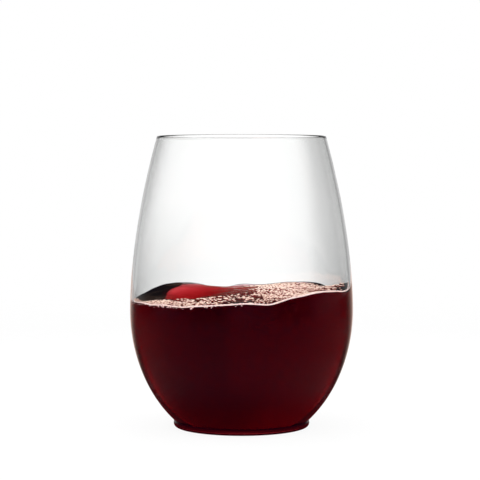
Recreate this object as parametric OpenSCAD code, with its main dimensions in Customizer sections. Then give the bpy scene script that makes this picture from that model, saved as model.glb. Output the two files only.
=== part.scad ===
// A stemless wine glass, a little under half full of red wine that rocks from side to side.
// +Z is up and the origin is the middle of the foot, on the table. The front faces -Y.

/* [Glass] */
// Height from the table to the rim
glass_h = 124; // [116:1:134]
// Outer radius at the rim
rim_r = 36; // [33:0.5:40]
// Outer radius at the belly, the widest place
belly_r = 47.5; // [45:0.5:51]
// Height of the belly above the table
belly_z = 50; // [47:1:54]
// Power of the upper outline, where a higher one keeps the wall upright for longer
upper_power = 1.76; // [1.6:0.02:2]
// Thickness of the wall at the rim
rim_t = 1.1; // [0.9:0.1:1.6]
// Thickness of the wall at the belly
belly_t = 1.4; // [1.2:0.1:2.2]
// Height of the cup's floor above the table
floor_z = 1.6; // [1.4:0.2:4]
// Height over which the floor turns up into the wall
corner_h = 1.2; // [0.6:0.2:4]

/* [Foot] */
// Outer radius of the foot
foot_r = 29; // [26:0.25:32]
// Height of the foot
foot_h = 2.4; // [2:0.1:3]
// Width of the ledge that the foot makes round the bowl
ledge_w = 0.8; // [0.6:0.1:1.4]
// Rounding of the foot's lower edge
foot_round = 1.5; // [1:0.1:1.6]
// Rounding of the foot's upper edge
ledge_round = 0.4; // [0.2:0.05:0.4]
// Width of the flat ring under the foot that it rests on
ring_w = 4.5; // [3:0.25:7]
// Depth of the hollow inside that ring
punt_h = 0.4; // [0.2:0.1:0.7]

/* [Wine] */
// Height of the wine's mean level above the table
wine_z = 56.5; // [48:0.5:64]
// Rise of the tilted surface from the middle to the right wall
tilt_h = 2.4; // [0:0.2:4]
// Height of the tallest swell on that tilt
swell_h = 2.8; // [0:0.2:3]
// Height of the rings that spread from one place on the surface
ring_h = 0.35; // [0:0.05:0.6]
// Distance from one ring's crest to the next
ring_pitch = 9; // [7:0.5:14]
// Clearance between the wine and the glass
wine_gap = 0.03; // [0.02:0.01:0.1]

/* [Froth] */
// Radius of the largest bubble
bubble_r = 1.8; // [1.4:0.1:2.2]
// Radius of the smallest bubble
fine_r = 1; // [0.8:0.05:1.2]
// Distance between neighbouring bubbles in a raft
bubble_pitch = 2.6; // [2.2:0.1:3.2]
// Number of bubbles in the largest raft
raft_n = 34; // [16:1:40]
// Number of bubbles in the string along the front wall
string_n = 24; // [10:1:30]
// Clearance between a bubble and the wine below it
bubble_gap = 0.02; // [0.01:0.01:0.05]

/* [Hidden] */

// Steps along the outline's curves
upper_steps = 18;
lower_steps = 16;
corner_steps = 6;
edge_steps = 5;
rim_steps = 8;
punt_steps = 5;
$fn = 96;

// Centre height of the rim's round edge
rim_z = glass_h - rim_t / 2;
// Radius of the bowl where it meets the foot, and radius of the hollow under the foot
neck_r = foot_r - ledge_w;
punt_r = foot_r - foot_round - ring_w;
// Angle on the bowl's lower ellipse at which it meets the foot
neck_angle = acos(neck_r / belly_r);
// Upright half-axis of that ellipse
bowl_c = (belly_z - foot_h) / sin(neck_angle);
// Height at which the corner between floor and wall ends
corner_z = floor_z + corner_h;

// Height above the belly as a share of the upper wall, from 0 to 1
function upper_share(z) = (z - belly_z) / (rim_z - belly_z);
function upper_r(z) = belly_r - (belly_r - rim_r) * pow(upper_share(z), upper_power);
function wall_t(z) = belly_t + (rim_t - belly_t) * upper_share(z);
// Radius of the lower ellipse, drawn in all round by t
function lower_r(z, t) = (belly_r - t) * sqrt(1 - pow((belly_z - z) / (bowl_c - t), 2));
// Points of a rounding of radius r about [x, z], from angle a to angle b
function round_points(x, z, r, a, b, n) = [
    for (i = [0 : n])
        let (t = a + (b - a) * i / n)
        [x + r * cos(t), z + r * sin(t)]
];

// The underside, from the middle of the hollow out to the resting ring
function punt_points() = [
    for (i = [0 : punt_steps])
        let (s = i / punt_steps)
        [punt_r * s, punt_h * (1 - s * s)]
];
function lower_outside() = [
    for (i = [0 : lower_steps])
        let (t = neck_angle * (1 - i / lower_steps))
        [belly_r * cos(t), belly_z - bowl_c * sin(t)]
];
function upper_outside() = [
    for (i = [1 : upper_steps])
        let (z = belly_z + (rim_z - belly_z) * i / upper_steps)
        [upper_r(z), z]
];
// The cup's inside drawn in by gap, from the rim down to the belly
function upper_inside(gap) = [
    for (i = [0 : upper_steps])
        let (z = rim_z + (belly_z - rim_z) * i / upper_steps)
        [upper_r(z) - wall_t(z) - gap, z]
];
function lower_inside(gap) = [
    for (i = [1 : lower_steps])
        let (z = belly_z + (corner_z - belly_z) * i / (lower_steps + 1))
        [lower_r(z, belly_t + gap), z]
];
// Rise of the lower ellipse, drawn in by t, from level at a height
function wall_angle(z, t) =
    let (share = (belly_z - z) / (bowl_c - t))
    atan2((bowl_c - t) * sqrt(1 - share * share), (belly_r - t) * share);
// An arc that leaves the wall along its own line and ends level, and then the middle of the floor
function corner_inside(gap) =
    let (
        t = belly_t + gap,
        rise = wall_angle(corner_z, t),
        r = (corner_h - gap) / (1 - cos(rise)),
        x = lower_r(corner_z, t) - r * sin(rise),
        z = floor_z + gap
    )
    concat(round_points(x, z + r, r, rise - 90, -90, corner_steps), [[0, z]]);
function cup_inside(gap) = concat(upper_inside(gap), lower_inside(gap), corner_inside(gap));

// Radius of the wine where its mean level meets the wall
pool_r = upper_r(wine_z) - wall_t(wine_z) - wine_gap;
// Swells: place right and back, spread, and height, as shares of pool_r and of swell_h
swell_shares = [
    [-0.65, 0.72, 0.40, 1.00],
    [-0.22, 0.97, 0.15, -0.85],
    [0.20, 0.97, 0.18, -0.35],
    [0.84, 0.50, 0.14, -0.70],
    [1.00, 0.00, 0.25, 0.50],
    [0.73, -0.68, 0.22, 0.60],
    [0.50, -0.86, 0.16, 0.30],
    [0.27, -0.95, 0.13, -0.40],
    [-0.40, -0.90, 0.50, -0.28],
    [0.30, 0.10, 0.34, 0.40]
];
// Place from which the rings spread, and how far they carry, as shares of pool_r
ring_mid_share = [-0.12, -0.60];
ring_reach_share = 0.75;
function gauss(x, y, s) = exp(-(pow(x - s[0], 2) + pow(y - s[1], 2)) / pow(s[2], 2));
function swell_sum(x, y, i = 0) = i == len(swell_shares) ? 0 :
    swell_shares[i][3] * gauss(x, y, swell_shares[i]) + swell_sum(x, y, i + 1);
function ring_wave(d) = cos(360 * d * pool_r / ring_pitch) * exp(-d / ring_reach_share);
// Height of the wine's surface at a place given in shares of pool_r
function surface_z(x, y) = wine_z + tilt_h * x + swell_h * swell_sum(x, y)
    + ring_h * ring_wave(norm([x, y] - ring_mid_share));

// Rings and sectors of the net that carries the surface, which reaches a little past the wall
net_rings = 15;
net_sectors = 60;
net_reach_share = 1.03;
// The net lies between these heights at its rim and under its middle
net_floor_z = floor_z / 2;
function net_point(i, j, lift) =
    let (
        s = net_reach_share * i / net_rings,
        x = s * cos(360 * j / net_sectors),
        y = s * sin(360 * j / net_sectors)
    )
    [pool_r * x, pool_r * y, surface_z(x, y) + lift];
function net_index(i, j) = 1 + (i - 1) * net_sectors + j % net_sectors;

// Everything inside the net's reach that lies under the surface
module under_surface(lift) {
    last = net_rings * net_sectors;
    points = concat(
        [net_point(0, 0, lift)],
        [for (i = [1 : net_rings]) for (j = [0 : net_sectors - 1]) net_point(i, j, lift)],
        [for (j = [0 : net_sectors - 1])
            let (p = net_point(net_rings, j, lift)) [p[0], p[1], net_floor_z]]
    );
    faces = concat(
        [for (j = [0 : net_sectors - 1]) [0, net_index(1, j + 1), net_index(1, j)]],
        [for (i = [1 : net_rings - 1]) for (j = [0 : net_sectors - 1])
            [net_index(i, j), net_index(i, j + 1), net_index(i + 1, j)]],
        [for (i = [1 : net_rings - 1]) for (j = [0 : net_sectors - 1])
            [net_index(i, j + 1), net_index(i + 1, j + 1), net_index(i + 1, j)]],
        [for (j = [0 : net_sectors - 1])
            [net_index(net_rings, j), net_index(net_rings, j + 1),
             last + 1 + (j + 1) % net_sectors, last + 1 + j]],
        [[for (j = [0 : net_sectors - 1]) last + 1 + j]]
    );
    polyhedron(points, faces);
}

// Rafts of froth: place right and back as shares of pool_r, and share of raft_n
raft_shares = [
    [0.26, -0.40, 0.90],
    [0.60, -0.18, 1.00],
    [0.34, 0.10, 0.75],
    [0.62, 0.34, 0.60],
    [-0.55, -0.38, 0.40]
];
// The string of bubbles lies along the front wall between these angles
start_angle = 182;
end_angle = 262;
golden_angle = 137.5;
// A share from 0 to 1 that jumps about as i counts up
function jump_share(i) = (1 + sin(golden_angle * i * i)) / 2;
function size_at(i) = fine_r + (bubble_r - fine_r) * jump_share(i);
// Spiral step that gives a raft one bubble in each hexagon of the pitch
raft_step = bubble_pitch * sqrt(sqrt(3) / (2 * PI));

// A bubble that floats half sunk at a place in millimetres
module bubble(x, y, r) {
    translate([x, y, surface_z(x / pool_r, y / pool_r)]) sphere(r, $fn = 24);
}

module raft(mid, n) {
    for (i = [0 : n - 1]) {
        d = raft_step * sqrt(i + 0.5);
        t = golden_angle * i;
        bubble(pool_r * mid[0] + d * cos(t), pool_r * mid[1] + d * sin(t), size_at(i));
    }
}

module string() {
    for (i = [0 : string_n - 1]) {
        r = size_at(i + 1);
        t = start_angle + (end_angle - start_angle) * (i + jump_share(i + 3) / 2) / string_n;
        d = pool_r - wine_gap - r - bubble_gap - tilt_h / 2;
        bubble(d * cos(t), d * sin(t), r);
    }
}

module glass() {
    color([0.93, 0.95, 0.96, 0.35])
        rotate_extrude()
            polygon(concat(
                punt_points(),
                round_points(foot_r - foot_round, foot_round, foot_round, -90, 0, edge_steps),
                round_points(foot_r - ledge_round, foot_h - ledge_round, ledge_round, 0, 90, edge_steps),
                lower_outside(),
                upper_outside(),
                round_points(rim_r - rim_t / 2, rim_z, rim_t / 2, 0, 180, rim_steps),
                cup_inside(0)
            ));
}

module wine() {
    color([0.36, 0.02, 0.07])
        intersection() {
            rotate_extrude() polygon(concat(cup_inside(wine_gap), [[0, rim_z]]));
            under_surface(0);
        }
}

module froth() {
    color([0.86, 0.66, 0.62])
        difference() {
            union() {
                for (share = raft_shares) raft(share, round(raft_n * share[2]));
                string();
            }
            under_surface(bubble_gap);
        }
}

glass();
wine();
froth();
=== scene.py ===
import math

import bpy
import numpy as np
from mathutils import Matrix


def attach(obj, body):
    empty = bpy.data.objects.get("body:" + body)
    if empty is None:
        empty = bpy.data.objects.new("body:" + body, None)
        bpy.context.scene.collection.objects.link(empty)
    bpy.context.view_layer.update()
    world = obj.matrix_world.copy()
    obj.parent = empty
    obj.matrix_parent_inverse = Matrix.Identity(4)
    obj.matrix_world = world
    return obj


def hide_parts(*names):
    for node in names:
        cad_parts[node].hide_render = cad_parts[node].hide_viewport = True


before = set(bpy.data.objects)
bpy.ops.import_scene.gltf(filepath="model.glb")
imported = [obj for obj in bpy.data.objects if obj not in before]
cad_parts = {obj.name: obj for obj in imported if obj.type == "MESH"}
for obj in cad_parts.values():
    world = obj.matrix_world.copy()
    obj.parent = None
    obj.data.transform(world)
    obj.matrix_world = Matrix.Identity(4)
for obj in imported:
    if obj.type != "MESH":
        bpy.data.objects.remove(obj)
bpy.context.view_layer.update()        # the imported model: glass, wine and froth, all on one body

mm = 0.001
white = (1.0, 1.0, 1.0, 1.0)
black = (0.0, 0.0, 0.0, 1.0)
print("frame loaded")


# Helpers for shaders

class Wire:
    # one output socket, so that shader sums read as plain sums

    def __init__(self, sheet, socket):
        self.sheet = sheet
        self.socket = socket

    def combine(self, operation, other, flip=False):
        pair = [other, self] if flip else [self, other]
        return self.sheet.node("ShaderNodeMath", {"operation": operation}, dict(enumerate(pair)))

    def __add__(self, other):
        return self.combine("ADD", other)

    def __radd__(self, other):
        return self.combine("ADD", other, True)

    def __sub__(self, other):
        return self.combine("SUBTRACT", other)

    def __rsub__(self, other):
        return self.combine("SUBTRACT", other, True)

    def __mul__(self, other):
        return self.combine("MULTIPLY", other)

    def __rmul__(self, other):
        return self.combine("MULTIPLY", other, True)

    def __truediv__(self, other):
        return self.combine("DIVIDE", other)

    def __rtruediv__(self, other):
        return self.combine("DIVIDE", other, True)

    def clamp(self):
        return self.sheet.node("ShaderNodeClamp", {}, {"Value": self})


class NodeSheet:
    # the node tree of one material or of the world

    def __init__(self, tree):
        self.tree = tree
        tree.nodes.clear()

    def node(self, kind, settings=None, inputs=None, output=0):
        made = self.tree.nodes.new(kind)
        for key, value in (settings or {}).items():
            if key == "stops":
                self.setStops(made, value)
            else:
                setattr(made, key, value)
        for key, value in (inputs or {}).items():
            if isinstance(value, Wire):
                self.tree.links.new(value.socket, made.inputs[key])
            else:
                made.inputs[key].default_value = value
        return Wire(self, made.outputs[output]) if made.outputs else made

    def outputs(self, kind, inputs, names):
        # several outputs of one node
        made = self.node(kind, {}, inputs).socket.node
        return [Wire(self, made.outputs[name]) for name in names]

    def setStops(self, ramp, stops):
        elements = ramp.color_ramp.elements
        while len(elements) < len(stops):
            elements.new(1.0)
        for element, (position, colour) in zip(elements, stops):
            element.position = position
            element.color = (*colour, 1.0)

    def place(self):
        return self.node("ShaderNodeTexCoord", {}, {}, "Object")

    def noise(self, scale, detail):
        return self.node("ShaderNodeTexNoise", {}, {
            "Vector": self.place(), "Scale": scale, "Detail": detail})

    def bump(self, height, strength):
        return self.node("ShaderNodeBump", {}, {"Height": height, "Strength": strength, "Distance": mm})

    def mixColours(self, factor, first, second):
        # sockets 6, 7 and output 2 are the colour ones
        return self.node("ShaderNodeMix", {"data_type": "RGBA"}, {0: factor, 6: first, 7: second}, 2)

    def fade(self, value, span, first=0.0, last=1.0):
        # goes softly from one level to another while the value goes through the span
        return self.node("ShaderNodeMapRange", {"interpolation_type": "SMOOTHSTEP"}, {
            "Value": value, "From Min": span[0], "From Max": span[1], "To Min": first, "To Max": last})

    def heading(self, right, back):
        # the angle from straight behind, rising to the right
        return self.node("ShaderNodeMath", {"operation": "ARCTAN2"}, {0: right, 1: back})

    def levels(self, heading, table, span):
        # brightness by heading, from a table of degrees that covers the span;
        # the ramp holds half of each level, since its colours end at 1
        stops = [(angle / span + 0.5, (level / 2,) * 3) for angle, level in table]
        share = heading / math.radians(span) + 0.5
        return 2 * self.node("ShaderNodeValToRGB", {"stops": stops}, {"Fac": share})


def newMaterial(name):
    material = bpy.data.materials.new(name)
    material.use_nodes = True
    return material, NodeSheet(material.node_tree)


# Helpers for meshes

def netFaces(start, rows, columns, flip=False):
    # quads between rings of points, where each ring goes once round
    faces = []
    for low in range(start, start + (rows - 1) * columns, columns):
        high = low + columns
        for j in range(columns):
            k = (j + 1) % columns
            quad = (low + j, low + k, high + k, high + j)
            faces.append(quad[::-1] if flip else quad)
    return faces


def fanFaces(ring, columns, tip, flip=False):
    # triangles from a ring of points to one point
    faces = [(ring + j, ring + (j + 1) % columns, tip) for j in range(columns)]
    return [face[::-1] for face in faces] if flip else faces


def ringPoints(radius, height, turns):
    return np.stack([radius * np.cos(turns), radius * np.sin(turns), np.full_like(turns, height)], 1)


def ringSolid(rows, firstHeight, lastHeight):
    # a closed skin of rings, with a point on the axis at each end
    columns = len(rows[0])
    points = np.concatenate(rows + [np.array([[0, 0, firstHeight], [0, 0, lastHeight]])])
    faces = netFaces(0, len(rows), columns)
    faces += fanFaces(0, columns, len(points) - 2, True)
    faces += fanFaces((len(rows) - 1) * columns, columns, len(points) - 1)
    return points, faces


def newPiece(name, points, faces, materials, node):
    mesh = bpy.data.meshes.new(name)
    mesh.from_pydata([tuple(p) for p in points], [], [tuple(f) for f in faces])
    mesh.update()
    for polygon in mesh.polygons:
        polygon.use_smooth = True
    for material in materials:
        mesh.materials.append(material)
    piece = bpy.data.objects.new(name, mesh)
    bpy.context.collection.objects.link(piece)
    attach(piece, "root")
    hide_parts(node)
    return piece


# The glass

glassForm = {
    "height": 124 * mm,
    "rimRadius": 36 * mm,
    "bellyRadius": 47.5 * mm,
    "bellyHeight": 50 * mm,
    "upperPower": 1.76,        # how late the wall above the belly turns in
    "rimThickness": 1.1 * mm,
    "bellyThickness": 1.4 * mm,
    "floorHeight": 1.6 * mm,
    "cornerHeight": 1.2 * mm,  # rise of the arc between the floor and the wall
    "footRadius": 29 * mm,
    "footHeight": 2.4 * mm,
    "ledgeWidth": 0.8 * mm,
    "footRound": 1.5 * mm,
    "ledgeRound": 0.4 * mm,
    "ringWidth": 4.5 * mm,     # the flat ring that it stands on
    "puntHeight": 0.4 * mm,    # the hollow under the foot
    "sectors": 240,
    "upperSteps": 56,
    "lowerSteps": 56,
    "lineSteps": 8,
    "floorSteps": 12,
    "cornerSteps": 14,
    "roundSteps": 10,
    "innerShare": 0.04,        # where the rings of a floor begin, as a share of its radius
    "ior": 1.52,
    "tint": white,
    "cast": (0.985, 0.995, 0.992, 1.0),    # the faint colour of thicker batches
    "castScale": 45.0,
    "castDetail": 1.0,
    "castBump": 0.03,
    "dryGlint": 1.0,           # share of the plain head-on reflection
    "wetAndDimmedGlint": 0.05,          # glass against wine hardly reflects; on the outer faces below the wine's line and on the foot it is a painted dimming of the reflection
    "footShadeTint": (0.50, 0.03, 0.04, 1.0),   # painted shade: the clear foot is tinted dark wine red, standing in for the wine-coloured light and shade that it passes on
    "footPaintedGlow": (1.0, 0.02, 0.10, 1.0),    # painted glow: the foot emits wine-coloured light, standing in for what it scatters
    "footPaintedGlowLevel": 0.006,
}


class CupShape:
    # the outline of the glass, which the wine follows too

    def __init__(self, form):
        self.form = form
        self.rimCentre = form["height"] - form["rimThickness"] / 2
        self.neckRadius = form["footRadius"] - form["ledgeWidth"]
        self.neckAngle = math.acos(self.neckRadius / form["bellyRadius"])
        self.lowerHalf = (form["bellyHeight"] - form["footHeight"]) / math.sin(self.neckAngle)
        # the corner is an arc that leaves the wall along its own line and ends level
        self.cornerTop = form["floorHeight"] + form["cornerHeight"]
        innerHalf = self.lowerHalf - form["bellyThickness"]
        share = (form["bellyHeight"] - self.cornerTop) / innerHalf
        across = (form["bellyRadius"] - form["bellyThickness"]) * share
        self.wallAngle = math.atan2(innerHalf * math.sqrt(1 - share ** 2), across)
        self.cornerRound = form["cornerHeight"] / (1 - math.cos(self.wallAngle))
        wallEnd = float(self.lowerRadius(self.cornerTop, form["bellyThickness"]))
        self.floorRadius = wallEnd - self.cornerRound * math.sin(self.wallAngle)

    def upperShare(self, z):
        return (z - self.form["bellyHeight"]) / (self.rimCentre - self.form["bellyHeight"])

    def upperOutside(self, z):
        form = self.form
        drop = form["bellyRadius"] - form["rimRadius"]
        return form["bellyRadius"] - drop * np.maximum(self.upperShare(z), 0) ** form["upperPower"]

    def lowerRadius(self, z, inset):
        form = self.form
        share = (form["bellyHeight"] - z) / (self.lowerHalf - inset)
        return (form["bellyRadius"] - inset) * np.sqrt(np.maximum(1 - share ** 2, 0))

    def wallThickness(self, z):
        form = self.form
        return form["bellyThickness"] + (form["rimThickness"] - form["bellyThickness"]) * self.upperShare(z)

    def inside(self, z):
        # radius of the cup's inside at a height
        form = self.form
        upper = self.upperOutside(z) - self.wallThickness(z)
        lower = self.lowerRadius(z, form["bellyThickness"])
        return np.where(z > form["bellyHeight"], upper, lower)

    def floorShares(self):
        return np.linspace(self.form["innerShare"], 1, self.form["floorSteps"])

    def roundPoints(self, radius, height, r, first, last):
        steps = self.form["roundSteps"]
        turns = [math.radians(first + (last - first) * i / steps) for i in range(steps + 1)]
        return [(radius + r * math.cos(t), height + r * math.sin(t)) for t in turns]

    def footLine(self):
        # the outline from the hollow under the foot round the ledge
        form = self.form
        footRound, ledgeRound = form["footRound"], form["ledgeRound"]
        puntRadius = form["footRadius"] - footRound - form["ringWidth"]
        line = [(puntRadius * s, form["puntHeight"] * (1 - s * s)) for s in self.floorShares()]
        line += self.roundPoints(form["footRadius"] - footRound, footRound, footRound, -90, 0)
        line += self.roundPoints(form["footRadius"] - ledgeRound, form["footHeight"] - ledgeRound,
                                 ledgeRound, 0, 90)
        return line

    def bellyLine(self):
        # the outline from the neck up to the belly
        form = self.form
        return [(form["bellyRadius"] * math.cos(t), form["bellyHeight"] - self.lowerHalf * math.sin(t))
                for t in np.linspace(self.neckAngle, 0, form["lowerSteps"])]

    def rimLine(self):
        form = self.form
        half = form["rimThickness"] / 2
        return self.roundPoints(form["rimRadius"] - half, self.rimCentre, half, 0, 180)[1:]

    def cornerLine(self, overlap=0.0):
        # from near the middle of the floor out to the end of the wall
        form = self.form
        line = [(self.floorRadius * s, form["floorHeight"] - overlap) for s in self.floorShares()]
        reach = self.cornerRound + overlap
        middle = form["floorHeight"] + self.cornerRound
        for t in np.linspace(0, self.wallAngle, form["cornerSteps"])[1:]:
            line.append((self.floorRadius + reach * math.sin(t), middle - reach * math.cos(t)))
        return line


cup = CupShape(glassForm)


def clearGlass(name, glint, tint, paintedGlowLevel=0.0):
    form = glassForm
    material, sheet = newMaterial(name)
    waves = sheet.noise(form["castScale"], form["castDetail"])
    shader = sheet.node("ShaderNodeBsdfPrincipled", {}, {
        "Base Color": sheet.mixColours(waves, tint, tuple(c * s for c, s in zip(tint, form["cast"]))),
        "Roughness": 0.0,
        "IOR": form["ior"],
        "Transmission Weight": 1.0,
        "Specular Tint": (glint, glint, glint, 1.0),
        "Normal": sheet.bump(waves, form["castBump"]),
        # painted glow, which only the foot's glass is given
        "Emission Color": form["footPaintedGlow"],
        "Emission Strength": paintedGlowLevel,
    })
    sheet.node("ShaderNodeOutputMaterial", {}, {"Surface": shader})
    return material


def makeGlass():
    # the outline goes from under the foot up the outside, over the rim and down the inside;
    # on both sides one ring lies on the wine's line, where the wet glass begins, whose reflection on the
    # outside is dimmed as painted shade
    form = glassForm
    turns = wallTurns(form["sectors"])
    edge = wallLine(turns)[1]
    footLine = cup.footLine()
    rows = [ringPoints(radius, height, turns) for radius, height in footLine + cup.bellyLine()]

    def addWall(radiusAt, low, high, steps):
        for share in np.linspace(0, 1, steps)[1:]:
            z = low + (high - low) * share
            rows.append(ringPoints(radiusAt(z), z, turns))
        return len(rows) - 1

    outerLine = addWall(cup.upperOutside, form["bellyHeight"], edge, form["lineSteps"])
    addWall(cup.upperOutside, edge, cup.rimCentre, form["upperSteps"])
    rows += [ringPoints(radius, height, turns) for radius, height in cup.rimLine()]
    innerLine = addWall(cup.inside, cup.rimCentre, edge, form["upperSteps"])
    addWall(cup.inside, edge, cup.cornerTop, form["lowerSteps"])
    rows += [ringPoints(radius, height, turns) for radius, height in cup.cornerLine()[::-1][1:]]
    points, faces = ringSolid(rows, form["puntHeight"], form["floorHeight"])

    materials = [
        clearGlass("dryGlass", form["dryGlint"], form["tint"]),
        clearGlass("wetAndDimmedGlass", form["wetAndDimmedGlint"], form["tint"]),
        clearGlass("footGlass", form["wetAndDimmedGlint"], form["footShadeTint"], form["footPaintedGlowLevel"]),
    ]
    piece = newPiece("glassBody", points, faces, materials, "glass")
    underFoot = len(rows) - 1
    for i, polygon in enumerate(piece.data.polygons):
        row = i // form["sectors"]
        # the foot gets the painted shade tint, a dimmed reflection and a painted glow
        if row < len(footLine) or row == underFoot:
            polygon.material_index = 2
        # below the wine's line: wet glass inside, and outside a painted dimming of the reflection
        elif row < outerLine or row >= innerLine:
            polygon.material_index = 1


# The wine

wineForm = {
    "level": 56.5 * mm,
    "tilt": 2.4 * mm,
    "swell": 2.8 * mm,
    "swells": [  # place right and back, spread, height, as shares
        (-0.65, 0.72, 0.40, 1.00),
        (-0.22, 0.97, 0.15, -0.85),
        (0.20, 0.97, 0.18, -0.35),
        (0.84, 0.50, 0.14, -0.70),
        (1.00, 0.00, 0.25, 0.50),
        (0.73, -0.68, 0.22, 0.60),
        (0.50, -0.86, 0.16, 0.30),
        (0.27, -0.95, 0.13, -0.40),
        (-0.40, -0.90, 0.50, -0.28),
        (0.30, 0.10, 0.34, 0.40),
    ],
    "ringHeight": 0.35 * mm,
    "ringPitch": 9 * mm,
    "ringMiddle": (-0.12, -0.60),
    "ringReach": 0.75,
    "ripples": [  # wavelength, direction in degrees, height
        (7.5 * mm, 24, 0.03 * mm),
        (5.9 * mm, 118, 0.02 * mm),
        (4.7 * mm, 71, 0.015 * mm),
        (9.3 * mm, -37, 0.03 * mm),
    ],
    "hollows": [  # place right and back, spread, and how far the swell is raised or lowered
        (-0.48, 0.16, 0.27, -2.0 * mm),
        (-0.62, 0.52, 0.16, 0.5 * mm),
        (1.02, -0.08, 0.13, 1.5 * mm),
    ],
    "climb": 0.5 * mm,        # how far the edge creeps up the glass
    "climbReach": 1.0 * mm,
    "overlap": 0.25 * mm,     # how far the mesh reaches into the wall, so that no air shows between
    "sectors": 360,
    "rings": 130,
    "ringCrowding": 1.6,      # above 1 the rings crowd towards the wall, where the surface curls up
    "sideSteps": 60,
    "lineTries": 6,           # rounds in which the wine's line on the wall is found
    "clear": (1.0, 0.97, 0.98, 1.0),
    "cloudy": (0.95, 0.84, 0.88, 1.0),
    "cloudScale": 60.0,
    "cloudDetail": 3.0,
    "cloudBump": 0.02,
    "ior": 1.345,
    "glint": 0.15,
    "plumGlow": (0.30, 0.0, 1.0, 1.0),     # painted glow, a faint plum, standing in for light that the pigment scatters
    "plumGlowLevel": 0.0014,
    "absorbColour": (0.80, 0.12, 0.16, 1.0),
    "absorbDensity": 200.0,            # per metre
}
poolRadius = float(cup.inside(np.array(wineForm["level"])))


def calmSurface(x, y):
    form = wineForm
    u, v = x / poolRadius, y / poolRadius
    z = form["level"] + form["tilt"] * u
    for right, back, spread, height in form["swells"]:
        z = z + form["swell"] * height * np.exp(-((u - right) ** 2 + (v - back) ** 2) / spread ** 2)
    away = np.hypot(u - form["ringMiddle"][0], v - form["ringMiddle"][1])
    rings = np.cos(2 * math.pi * away * poolRadius / form["ringPitch"]) * np.exp(-away / form["ringReach"])
    return z + form["ringHeight"] * rings


def wineSurface(x, y):
    form = wineForm
    z = calmSurface(x, y)
    for length, heading, height in form["ripples"]:
        # the heading also shifts each ripple, so that no two start together
        t = math.radians(heading)
        z = z + height * np.sin(2 * math.pi * (x * math.cos(t) + y * math.sin(t)) / length + heading)
    for right, back, spread, height in form["hollows"]:
        away = np.hypot(x / poolRadius - right, y / poolRadius - back)
        z = z + height * np.exp(-(away / spread) ** 2)
    toWall = np.maximum(poolRadius - np.hypot(x, y), 0)
    return z + form["climb"] * np.exp(-toWall / form["climbReach"])


def wallTurns(sectors):
    return 2 * math.pi * np.arange(sectors) / sectors


def wallLine(turns):
    # radius and height at which the wine meets the wall, at each angle
    z = np.full_like(turns, wineForm["level"])
    for _ in range(wineForm["lineTries"]):
        reach = cup.inside(z)
        z = wineSurface(reach * np.cos(turns), reach * np.sin(turns))
    return reach, z


def redWine():
    form = wineForm
    material, sheet = newMaterial("redWine")
    clouds = sheet.noise(form["cloudScale"], form["cloudDetail"])
    shader = sheet.node("ShaderNodeBsdfPrincipled", {}, {
        "Base Color": sheet.mixColours(clouds, form["clear"], form["cloudy"]),
        "Roughness": 0.0,
        "IOR": form["ior"],
        "Transmission Weight": 1.0,
        "Specular Tint": (form["glint"],) * 3 + (1.0,),
        "Normal": sheet.bump(clouds, form["cloudBump"]),
        # painted plum glow of the wine
        "Emission Color": form["plumGlow"],
        "Emission Strength": form["plumGlowLevel"],
    })
    volume = sheet.node("ShaderNodeVolumeAbsorption", {}, {
        "Color": form["absorbColour"],
        "Density": form["absorbDensity"],
    })
    sheet.node("ShaderNodeOutputMaterial", {}, {"Surface": shader, "Volume": volume})
    return material


def makeWine():
    form = wineForm
    turns = wallTurns(form["sectors"])
    edge = wallLine(turns)[1]
    rows = [ringPoints(radius, height, turns) for radius, height in cup.cornerLine(form["overlap"])]
    for share in np.linspace(0, 1, form["sideSteps"])[1:]:
        z = cup.cornerTop + (edge - cup.cornerTop) * share
        rows.append(ringPoints(cup.inside(z) + form["overlap"], z, turns))
    edgeRadius = cup.inside(edge)
    for share in np.linspace(0, 1, form["rings"])[:-1]:
        radius = edgeRadius * (1 - share ** form["ringCrowding"])
        height = wineSurface(radius * np.cos(turns), radius * np.sin(turns))
        rows.append(ringPoints(radius, height, turns))
    bottom = glassForm["floorHeight"] - form["overlap"]
    points, faces = ringSolid(rows, bottom, float(wineSurface(0.0, 0.0)))
    newPiece("wineBody", points, faces, [redWine()], "wine")


# The froth

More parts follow.
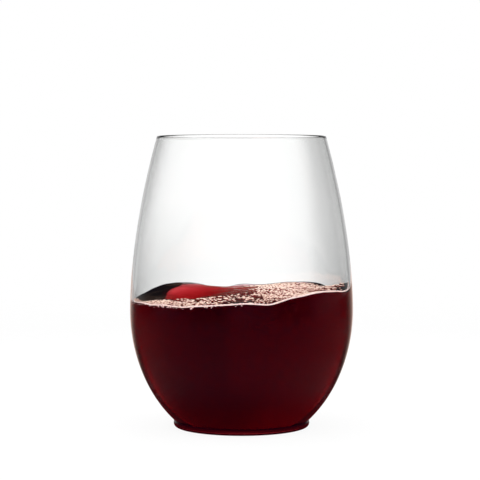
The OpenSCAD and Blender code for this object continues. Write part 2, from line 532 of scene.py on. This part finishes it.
frothForm = {
    "largest": 1.25 * mm,
    "smallest": 0.42 * mm,
    "rafts": [  # place right and back, and half-widths, as shares, with the number of bubbles
        (0.46, -0.44, 0.31, 0.34, 300),
        (0.24, -0.82, 0.18, 0.10, 26),
        (0.40, 0.02, 0.34, 0.32, 280),
        (0.50, 0.44, 0.30, 0.28, 190),
        (0.42, 0.72, 0.36, 0.15, 110),
        (0.80, -0.20, 0.14, 0.26, 40),
        (-0.28, -0.44, 0.26, 0.36, 120),
        (-0.48, -0.62, 0.24, 0.20, 80),
        (0.04, -0.44, 0.20, 0.40, 34),
        (-0.77, -0.38, 0.20, 0.16, 150),
        (0.90, 0.00, 0.08, 0.24, 32),
    ],
    "outlines": [(3, 0.24, 20), (5, 0.16, 13)],   # a raft's outline: its waves, their height and shift
    "thinning": 0.60,         # 0.5 spreads a raft evenly, and more gathers it in its middle
    "outerShrink": 0.5,       # how much smaller the bubbles may get towards a raft's outline
    "raftTries": 30,          # for each bubble, before its raft counts as full
    "raftReach": 0.97,        # share of the wine's radius that rafts keep within
    "crowding": 0.76,         # least distance between two bubbles, in the sum of their radii
    "string": (182, 276, 190),    # bubbles along the front wall: first and last angle, and number
    "stringWidth": 2.5 * mm,
    "stringJitter": 0.8,
    "stringSize": 0.5,        # their largest, as a share of the range of sizes
    "stringGather": 2,        # above 1 more of them are small and close to the wall
    "film": 0.12,             # share of the radius
    "flatten": 0.64,
    "sink": -22,              # angle at which a cap meets the wine
    "roundFrom": 0.85 * mm,   # smaller bubbles get fewer faces
    "largeNet": (10, 4),      # sides and rows of a bubble's mesh
    "smallNet": (8, 3),
    "collar": (176, 356, 260),    # first and last angle along the wall, and steps
    "collarRound": 0.36 * mm,
    "collarSides": 8,
    "collarEnds": 6,              # it tapers over a sixth of its length at either end
    "collarTip": 0.35,            # share of its radius at the tips
    "collarShares": (0.55, 0.45, 0.5),   # of its radius: the least, the growth to the right, and chance
    "collarSeat": (0.9, 0.2),     # how far it lies in from the wall and above the line, in its radius
    "beads": (283, 335, 34),      # air bubbles on the wall: first and last angle, and number
    "beadRadius": 0.16 * mm,
    "beadSizes": (0.5, 1.0),
    "beadDepth": 7 * mm,
    "beadDepths": (0.1, 1.0),
    "beadGather": 1.5,            # above 1 more of them are near the surface
    "beadGap": 0.02 * mm,
    "drops": (186, 272, 90),      # fine bubbles that hang from the line: angles, and number
    "dropRadius": 0.30 * mm,
    "dropSizes": (0.4, 1.0),
    "dropDepth": 0.9 * mm,
    "dropGather": 2,
    "dropSeat": 0.95,             # how far its middle lies in from the wall, in its radius
    "beadNet": (8, 5),
    "seed": 7,
    "pale": (1.0, 0.88, 0.77, 1.0),
    "pink": (1.0, 0.66, 0.55, 1.0),
    # the deep red is painted shade on the sides of the bubbles
    "deep": (0.20, 0.008, 0.010, 1.0),
    "shadeSlopes": (0.54, 0.82),   # upward share of the normal over which a bubble turns from deep to pale, a painted shade that darkens its sides
    "patchScale": 160.0,
    "patchDetail": 3.0,
    "ior": 1.33,
    "clearness": 0.10,
    "sheen": 0.15,            # share of a plain film's head-on reflection
    "roughness": 0.08,
    "fine": (1.0, 0.90, 0.87, 1.0),
    "finePink": (1.0, 0.66, 0.62, 1.0),
    "fineScale": 900.0,
    "fineDetail": 2.0,
    "fineClearness": 0.15,
    "fineRoughness": 0.3,
    "edgeGlow": 0.22,           # painted glow: the wet edge emits light, standing in for what it gathers from behind
}


def bubbleFilm():
    form = frothForm
    material, sheet = newMaterial("bubbleFilm")
    patches = sheet.noise(form["patchScale"], form["patchDetail"])
    normal = sheet.node("ShaderNodeNewGeometry", {}, {}, "Normal")
    upward = sheet.node("ShaderNodeSeparateXYZ", {}, {0: normal}, "Z")
    crown = sheet.mixColours(patches, form["pale"], form["pink"])
    shader = sheet.node("ShaderNodeBsdfPrincipled", {}, {
        # painted shade: deep red where a bubble faces sideways, pale where it faces up
        "Base Color": sheet.mixColours(sheet.fade(upward, form["shadeSlopes"]), form["deep"], crown),
        "Roughness": form["roughness"],
        "IOR": form["ior"],
        "Specular IOR Level": form["sheen"],
        "Transmission Weight": form["clearness"],
    })
    sheet.node("ShaderNodeOutputMaterial", {}, {"Surface": shader})
    return material


def fineFroth():
    form = frothForm
    material, sheet = newMaterial("fineFroth")
    patches = sheet.noise(form["fineScale"], form["fineDetail"])
    shader = sheet.node("ShaderNodeBsdfPrincipled", {}, {
        "Base Color": sheet.mixColours(patches, form["fine"], form["finePink"]),
        "Roughness": form["fineRoughness"],
        "IOR": form["ior"],
        "Transmission Weight": form["fineClearness"],
        # painted glow of the fine froth
        "Emission Color": form["fine"],
        "Emission Strength": form["edgeGlow"],
    })
    sheet.node("ShaderNodeOutputMaterial", {}, {"Surface": shader})
    return material


def placeBubbles(rng):
    # the floating bubbles, as places and radii, none of them too close to another
    form = frothForm
    placed = []

    def place(x, y, r):
        if all((x - px) ** 2 + (y - py) ** 2 > (form["crowding"] * (r + pr)) ** 2 for px, py, pr in placed):
            placed.append((x, y, r))
            return 1
        return 0

    smallest, sizes = form["smallest"], form["largest"] - form["smallest"]
    for right, back, wide, deep, count in form["rafts"]:
        tries = made = 0
        while made < count and tries < count * form["raftTries"]:
            tries += 1
            a, s = rng.uniform(0, 2 * math.pi), rng.uniform(0, 1) ** form["thinning"]
            wander = sum(height * math.sin(waves * a + shift * side)
                         for (waves, height, shift), side in zip(form["outlines"], (right, back)))
            reach = s * (1 + wander)
            x = poolRadius * (right + wide * reach * math.cos(a))
            y = poolRadius * (back + deep * reach * math.sin(a))
            r = smallest + sizes * rng.uniform(0, 1) * (1 - form["outerShrink"] * s)
            if math.hypot(x, y) + r < form["raftReach"] * poolRadius:
                made += place(x, y, r)
    first, last, count = form["string"]
    for i in range(count):
        a = math.radians(first + (last - first) * (i + rng.uniform(0, form["stringJitter"])) / count)
        r = smallest + form["stringSize"] * sizes * rng.uniform(0, 1) ** form["stringGather"]
        d = poolRadius - r - rng.uniform(0, 1) ** form["stringGather"] * form["stringWidth"]
        place(d * math.cos(a), d * math.sin(a), r)
    return placed


def domeMesh(points, faces, x, y, radius):
    # a hollow cap on the wine: an outer and an inner skin that meet under the waterline
    form = frothForm
    z = float(wineSurface(x, y))
    columns, rows = form["largeNet"] if radius > form["roundFrom"] else form["smallNet"]
    first = len(points)
    for r, flip in ((radius, False), (radius * (1 - form["film"]), True)):
        start = len(points)
        for i in range(rows):
            t = math.radians(form["sink"] + (90 - form["sink"]) * i / rows)
            for j in range(columns):
                a = 2 * math.pi * j / columns
                points.append((x + r * math.cos(t) * math.cos(a), y + r * math.cos(t) * math.sin(a),
                               z + r * form["flatten"] * math.sin(t)))
        points.append((x, y, z + r * form["flatten"]))
        faces += netFaces(start, rows, columns, flip)
        faces += fanFaces(start + (rows - 1) * columns, columns, len(points) - 1, flip)
    inner = first + rows * columns + 1
    for j in range(columns):
        k = (j + 1) % columns
        faces.append((first + k, first + j, inner + j, inner + k))


def collarMesh(points, faces, rng):
    # the finest bubbles, a thin bead along the front wall
    form = frothForm
    first, last, steps = form["collar"]
    sides = form["collarSides"]
    ends, tip = form["collarEnds"], form["collarTip"]
    least, growth, chance = form["collarShares"]
    inward, lift = form["collarSeat"]
    start = len(points)
    turns = np.radians(np.linspace(first, last, steps + 1))
    for i, (a, reach, z) in enumerate(zip(turns, *wallLine(turns))):
        taper = min(1, ends * i / steps, ends * (steps - i) / steps)
        r = form["collarRound"] * (tip + (1 - tip) * taper)
        r *= least + growth * i / steps + chance * rng.uniform()
        for j in range(sides):
            t = 2 * math.pi * j / sides
            d = reach - r * inward + r * math.cos(t)
            points.append((d * math.cos(a), d * math.sin(a), z + lift * r + r * math.sin(t)))
    faces += netFaces(start, steps + 1, sides, True)
    faces.append(tuple(start + j for j in range(sides)))
    faces.append(tuple(start + steps * sides + sides - 1 - j for j in range(sides)))


def beadMesh(points, faces, a, d, z, r):
    # one round bubble, at an angle, a distance from the axis and a height
    columns, rows = frothForm["beadNet"]
    x, y = d * math.cos(a), d * math.sin(a)
    start = len(points)
    for i in range(rows):
        t = math.radians(-90 + 180 * (i + 1) / (rows + 1))
        for j in range(columns):
            b = 2 * math.pi * j / columns
            points.append((x + r * math.cos(t) * math.cos(b), y + r * math.cos(t) * math.sin(b),
                           z + r * math.sin(t)))
    points += [(x, y, z - r), (x, y, z + r)]
    faces += netFaces(start, rows, columns)
    faces += fanFaces(start, columns, len(points) - 2, True)
    faces += fanFaces(start + (rows - 1) * columns, columns, len(points) - 1)


def addBeads(points, faces, rng):
    # small bubbles of air against the front wall, under the surface
    form = frothForm
    first, last, count = form["beads"]
    for _ in range(count):
        a = math.radians(rng.uniform(first, last))
        r = form["beadRadius"] * rng.uniform(*form["beadSizes"])
        z = wineForm["level"] - form["beadDepth"] * rng.uniform(*form["beadDepths"]) ** form["beadGather"]
        beadMesh(points, faces, a, float(cup.inside(z)) - r - form["beadGap"], z, r)


def addDrops(points, faces, rng):
    # fine bubbles that hang from the wine's line
    form = frothForm
    first, last, count = form["drops"]
    for _ in range(count):
        a = math.radians(rng.uniform(first, last))
        reach, z = wallLine(np.array(a))
        r = form["dropRadius"] * rng.uniform(*form["dropSizes"])
        depth = form["dropDepth"] * rng.uniform(0, 1) ** form["dropGather"]
        beadMesh(points, faces, a, float(reach) - form["dropSeat"] * r, float(z) - depth, r)


def makeFroth():
    rng = np.random.default_rng(frothForm["seed"])
    placed = placeBubbles(rng)
    points, faces = [], []
    for x, y, r in placed:
        domeMesh(points, faces, x, y, r)
    addBeads(points, faces, rng)
    filmFaces = len(faces)
    collarMesh(points, faces, rng)
    addDrops(points, faces, rng)
    piece = newPiece("frothBubbles", points, faces, [bubbleFilm(), fineFroth()], "froth")
    for polygon in piece.data.polygons[filmFaces:]:
        polygon.material_index = 1
    print("bubbles:", len(placed))


makeGlass()
makeWine()
makeFroth()
print("pieces made")


# The stage: floor, world and camera

stageForm = {
    "floorRadius": 1.0,
    "floorSteps": 96,
    "floorDrop": 0.03 * mm,   # so that light leaving the foot meets the floor
    "floorColour": (0.06, 0.06, 0.06, 1.0),
    "floorGlow": 0.90,
    "farSpan": (0.25, 0.60),  # where the floor thins out, but for what the glass mirrors
    "shadowColour": (0.023, 0.0, 0.0013, 1.0),   # painted shadow: the floor near the foot is dark wine red in what the glass passes on
    "shadowSpan": (32 * mm, 62 * mm),
    "paintedLightLevel": 1.5,       # painted light: a ring of floor further out is brighter in what the glass passes on, which lights the wave of the wine
    "paintedLightSpan": (95 * mm, 125 * mm),
    "bounceLevel": 0.4,       # what is left of that after it has been mirrored
    "mirrorTone": (1.0, 0.72, 0.62, 1.0),
    "paintedBlushColour": (0.13, 0.009, 0.011, 1.0),   # painted wine-coloured light on the floor near the glass, seen only in what the glass mirrors
    "paintedBlushSpan": (50 * mm, 140 * mm),
    "floorMirrored": [    # how bright the floor is in what the glass mirrors, all the way round
        (-180, 0.012), (-52, 0.012), (-45, 0.04), (-39, 0.14), (-32, 0.36), (-24, 0.68), (-18, 0.90),
        (18, 0.90), (24, 0.68), (32, 0.36), (39, 0.14), (45, 0.04), (52, 0.012), (180, 0.012),
    ],
    "whiteLevel": 1.0,        # what the camera sees behind the glass
    "roomLevel": 2.45,        # what lights matt surfaces
    "topLevel": 0.20,         # what the inside of the cup mirrors from above the backdrop
    "surfaceLevel": 0.06,     # what the wine's surface mirrors, against what the glass does
    "surfaceTone": (1.0, 0.60, 0.38, 1.0),
    "lampLevel": 2.0,         # a soft light overhead
    "innerDepth": 3,          # surfaces that light has passed before it counts as from inside
    "lampSpan": (0.55, 0.75),         # these spans are in the sine of the height
    "sunkSpan": (-0.090, -0.045),
    "riseSpan": (0.0, 0.28),
    "bandSpan": (0.20, 0.38),         # where the mirrored backdrop fades
    "poolSpan": (0.0, 0.07),          # light that rises more than this came off the wine
    "backdrop": [         # angle from straight behind, to the left and the right, and brightness
        (-45, 1.15), (-32, 1.05), (-24, 1.02), (-6, 1.17), (-2, 1.19), (-0.8, 1.20), (0.5, 1.20),
        (1.8, 1.18), (2.6, 1.15), (3.0, 1.10), (3.4, 1.01), (3.7, 0.92), (4.4, 0.81), (8, 0.80),
        (24, 0.82), (32, 1.00), (45, 1.15),
    ],
    "sunk": [             # the same for the backdrop lower down
        (-45, 1.05), (-32, 0.95), (-24, 0.85), (-6, 0.90), (-3, 1.00), (-1.5, 1.16), (0, 1.20),
        (1.8, 1.18), (3.0, 1.06), (3.7, 0.88), (5, 0.72), (8, 0.72), (24, 0.75), (32, 0.90), (45, 1.05),
    ],
    "raised": [           # the same for the backdrop higher up
        (-45, 1.90), (-39, 0.90), (-30, 0.72), (-10, 0.70), (2, 0.45), (20, 0.40), (34, 0.50),
        (40, 0.80), (45, 1.90),
    ],
    "mirrored": [         # the same for light that a piece has mirrored
        (-45, 0.10), (-36, 0.10), (-30, 0.60), (-16, 0.90), (-10, 1.05), (6, 1.05), (12, 0.50),
        (20, 0.08), (45, 0.06),
    ],
    "outside": [          # all the way round, for what the front wall mirrors
        (-180, 0.20), (-150, 0.04), (-100, 0.04), (-70, 0.03), (-60, 0.06), (-42, 0.26), (-30, 0.42),
        (-18, 0.60), (0, 0.90), (14, 0.64), (28, 0.30), (42, 0.16), (60, 0.05), (90, 0.03),
        (150, 0.03), (180, 0.20),
    ],
}


def paleFloor():
    form = stageForm
    material, sheet = newMaterial("paleFloor")
    camera, through, glossy, bounces = sheet.outputs("ShaderNodeLightPath", {}, (
        "Is Camera Ray", "Is Transmission Ray", "Is Glossy Ray", "Glossy Depth"))
    mirrored = glossy * (1 - through)
    place = sheet.place()
    away = sheet.node("ShaderNodeVectorMath", {"operation": "LENGTH"}, {0: place}, "Value")
    right, back = sheet.outputs("ShaderNodeSeparateXYZ", {0: place}, ("X", "Y"))

    # what the glass passes on
    # painted shadow of the glass and wine on the floor near the foot
    shadowed = sheet.mixColours(sheet.fade(away, form["shadowSpan"]), form["shadowColour"], white)
    # painted light on a ring of the floor, only in what the glass passes on
    paintedLight = sheet.fade(away, form["paintedLightSpan"], form["paintedLightLevel"], 1.0)
    passed = through * paintedLight * (1 - bounces.clamp() * (1 - form["bounceLevel"]))

    # what the glass mirrors
    mirrorLevel = sheet.levels(sheet.heading(right, back), form["floorMirrored"], 360)
    tone = sheet.mixColours(mirrorLevel, black, form["mirrorTone"])
    # painted wine-coloured light on the floor near the glass
    tone = sheet.mixColours(sheet.fade(away, form["paintedBlushSpan"], 1.0, 0.0), tone, form["paintedBlushColour"])

    tint = sheet.mixColours(mirrored, sheet.mixColours(through, white, shadowed), tone)
    strength = (camera + passed + mirrored) * form["floorGlow"]
    glow = sheet.node("ShaderNodeEmission", {}, {"Color": tint, "Strength": strength})
    paint = sheet.node("ShaderNodeBsdfDiffuse", {}, {"Color": form["floorColour"]})
    shader = sheet.node("ShaderNodeAddShader", {}, {0: paint, 1: glow})
    shader = sheet.node("ShaderNodeMixShader", {}, {0: mirrored, 1: shader, 2: glow})
    thin = sheet.fade(away, form["farSpan"]) * (1 - mirrored)
    nothing = sheet.node("ShaderNodeBsdfTransparent", {}, {"Color": white})
    shader = sheet.node("ShaderNodeMixShader", {}, {0: thin, 1: shader, 2: nothing})
    sheet.node("ShaderNodeOutputMaterial", {}, {"Surface": shader})
    return material


def makeFloor():
    radius, steps = stageForm["floorRadius"], stageForm["floorSteps"]
    turns = [2 * math.pi * i / steps for i in range(steps)]
    points = [(radius * math.cos(t), radius * math.sin(t), -stageForm["floorDrop"]) for t in turns]
    mesh = bpy.data.meshes.new("floor")
    mesh.from_pydata(points, [], [tuple(range(steps))])
    mesh.materials.append(paleFloor())
    floor = bpy.data.objects.new("floor", mesh)
    bpy.context.collection.objects.link(floor)


def makeWorld():
    form = stageForm
    world = bpy.data.worlds.new("studio")
    bpy.context.scene.world = world
    world.use_nodes = True
    sheet = NodeSheet(world.node_tree)
    camera, diffuse, mirrored, passed = sheet.outputs("ShaderNodeLightPath", {}, (
        "Is Camera Ray", "Diffuse Depth", "Glossy Depth", "Transmission Depth"))
    diffuse, mirrored = diffuse.clamp(), mirrored.clamp()
    inner = (passed - form["innerDepth"]).clamp()
    direction = sheet.node("ShaderNodeTexCoord", {}, {}, "Generated")
    right, back, up = sheet.outputs("ShaderNodeSeparateXYZ", {0: direction}, ("X", "Y", "Z"))
    heading = sheet.heading(right, back)
    # the backdrop repeats every quarter turn, so that other sides are lit alike
    quarter = math.radians(90)
    turn = sheet.node("ShaderNodeMath", {"operation": "WRAP"}, {0: heading, 1: quarter / 2, 2: -quarter / 2})

    # seen straight or through the pieces
    sunk = sheet.fade(up, form["sunkSpan"], 1.0, 0.0)
    risen = sheet.fade(up, form["riseSpan"])
    lamp = sheet.fade(up, form["lampSpan"])
    low = (1 - sunk) * sheet.levels(turn, form["backdrop"], 90) + sunk * sheet.levels(turn, form["sunk"], 90)
    high = (1 - lamp) * sheet.levels(turn, form["raised"], 90) + lamp * form["lampLevel"]
    straight = (1 - risen) * low + risen * high

    # mirrored inside the cup, where the wine's surface mirrors less, or on the outside
    top = sheet.fade(up, form["bandSpan"])
    pool = inner * sheet.fade(up, form["poolSpan"])
    within = (1 - top) * sheet.levels(turn, form["mirrored"], 90) + top * form["topLevel"]
    within = within * (1 - pool * (1 - form["surfaceLevel"]))
    outside = (1 - risen) * sheet.levels(heading, form["outside"], 360)

    seen = (1 - mirrored) * straight + mirrored * (inner * within + (1 - inner) * outside)
    lit = diffuse * form["roomLevel"] + (1 - diffuse) * seen
    tone = sheet.mixColours(mirrored * pool, white, form["surfaceTone"])
    glow = sheet.node("ShaderNodeBackground", {}, {
        "Color": tone, "Strength": camera * form["whiteLevel"] + (1 - camera) * lit})
    sheet.node("ShaderNodeOutputWorld", {}, {"Surface": glow})


cameraForm = {
    "away": 902.8 * mm,
    "height": 142.1 * mm,
    "sideways": -0.64 * mm,
    "pitch": 0.069,
    "focalPixels": 2125.0,
    "framePixels": 480.0,
    "sensor": 36.0,
    "clip": (10 * mm, 20.0),    # the nearest and the farthest that it sees
    "bounces": 32,
    "glossyBounces": 8,
}


def makeCamera():
    form = cameraForm
    data = bpy.data.cameras.new("camera")
    data.sensor_width = form["sensor"]
    data.lens = form["focalPixels"] / form["framePixels"] * form["sensor"]
    data.clip_start, data.clip_end = form["clip"]
    camera = bpy.data.objects.new("camera", data)
    camera.location = (form["sideways"], -form["away"], form["height"])
    camera.rotation_euler = (math.pi / 2 - form["pitch"], 0, 0)
    bpy.context.collection.objects.link(camera)
    scene = bpy.context.scene
    scene.camera = camera
    scene.view_settings.view_transform = "Standard"
    scene.cycles.max_bounces = form["bounces"]
    scene.cycles.transmission_bounces = form["bounces"]
    scene.cycles.glossy_bounces = form["glossyBounces"]


makeFloor()
makeWorld()
makeCamera()
print("stage made")
